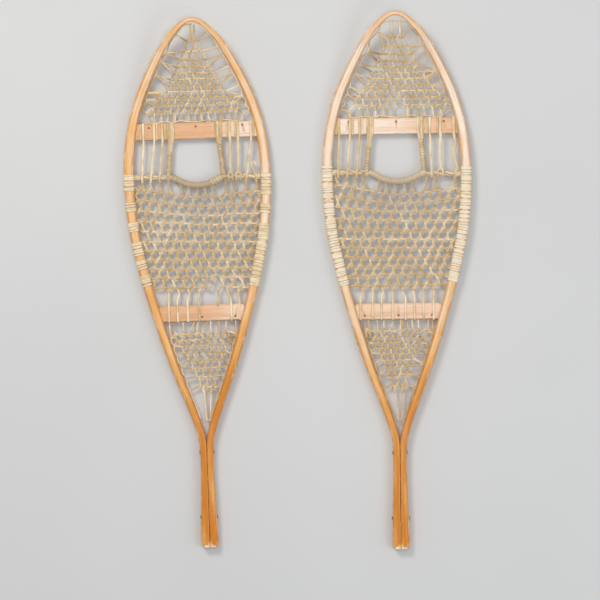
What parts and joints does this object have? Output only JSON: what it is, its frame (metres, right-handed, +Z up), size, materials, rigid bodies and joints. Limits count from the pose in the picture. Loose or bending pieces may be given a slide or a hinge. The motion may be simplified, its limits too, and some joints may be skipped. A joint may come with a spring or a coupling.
{
  "type": "pair of snowshoes",
  "caption": "Pair of long-tailed bent-wood snowshoes with mortised crossbars, upturned toes and woven rawhide lacing, lying flat side by side.",
  "frame": {"origin": "on the ground under the middle of the pair's box", "axes": "+Y towards the toes, +X towards the right shoe, +Z up"},
  "size_m": [0.804, 1.2374, 0.0724],
  "materials": {
    "ash": "varnished",
    "rawhide": "varnished rawhide",
    "copper": "aged copper"
  },
  "bodies": {
    "left_snowshoe": {"left_frame": "ash", "left_front_crossbar": "ash", "left_rear_crossbar": "ash", "left_tail_rivet_front": "copper", "left_tail_rivet_rear": "copper", "left_toe_lanyard": "rawhide", "left_toe_lacing": "rawhide", "left_toe_cord": "rawhide", "left_toe_hole_cord_left": "rawhide", "left_toe_hole_cord_right": "rawhide", "left_front_strand_left_1": "rawhide", "left_front_strand_left_2": "rawhide", "left_front_strand_left_3": "rawhide", "left_front_strand_right_1": "rawhide", "left_front_strand_right_2": "rawhide", "left_front_strand_right_3": "rawhide", "left_body_lacing": "rawhide", "left_rail_wrap_left_1": "rawhide", "left_rail_wrap_left_2": "rawhide", "left_rail_wrap_left_3": "rawhide", "left_rail_wrap_left_4": "rawhide", "left_rail_wrap_left_5": "rawhide", "left_rail_wrap_right_1": "rawhide", "left_rail_wrap_right_2": "rawhide", "left_rail_wrap_right_3": "rawhide", "left_rail_wrap_right_4": "rawhide", "left_rail_wrap_right_5": "rawhide", "left_heel_lanyard": "rawhide", "left_heel_lacing": "rawhide"},
    "right_snowshoe": {"right_frame": "ash", "right_front_crossbar": "ash", "right_rear_crossbar": "ash", "right_tail_rivet_front": "copper", "right_tail_rivet_rear": "copper", "right_toe_lanyard": "rawhide", "right_toe_lacing": "rawhide", "right_toe_cord": "rawhide", "right_toe_hole_cord_left": "rawhide", "right_toe_hole_cord_right": "rawhide", "right_front_strand_left_1": "rawhide", "right_front_strand_left_2": "rawhide", "right_front_strand_left_3": "rawhide", "right_front_strand_right_1": "rawhide", "right_front_strand_right_2": "rawhide", "right_front_strand_right_3": "rawhide", "right_body_lacing": "rawhide", "right_rail_wrap_left_1": "rawhide", "right_rail_wrap_left_2": "rawhide", "right_rail_wrap_left_3": "rawhide", "right_rail_wrap_left_4": "rawhide", "right_rail_wrap_left_5": "rawhide", "right_rail_wrap_right_1": "rawhide", "right_rail_wrap_right_2": "rawhide", "right_rail_wrap_right_3": "rawhide", "right_rail_wrap_right_4": "rawhide", "right_rail_wrap_right_5": "rawhide", "right_heel_lanyard": "rawhide", "right_heel_lacing": "rawhide"}
  },
  "joints": [
    {"name": "right_lift", "type": "slide", "parent": "left_snowshoe", "child": "right_snowshoe", "axis": [0, 0, 1], "range_m": [0, 0.3]}
  ]
}
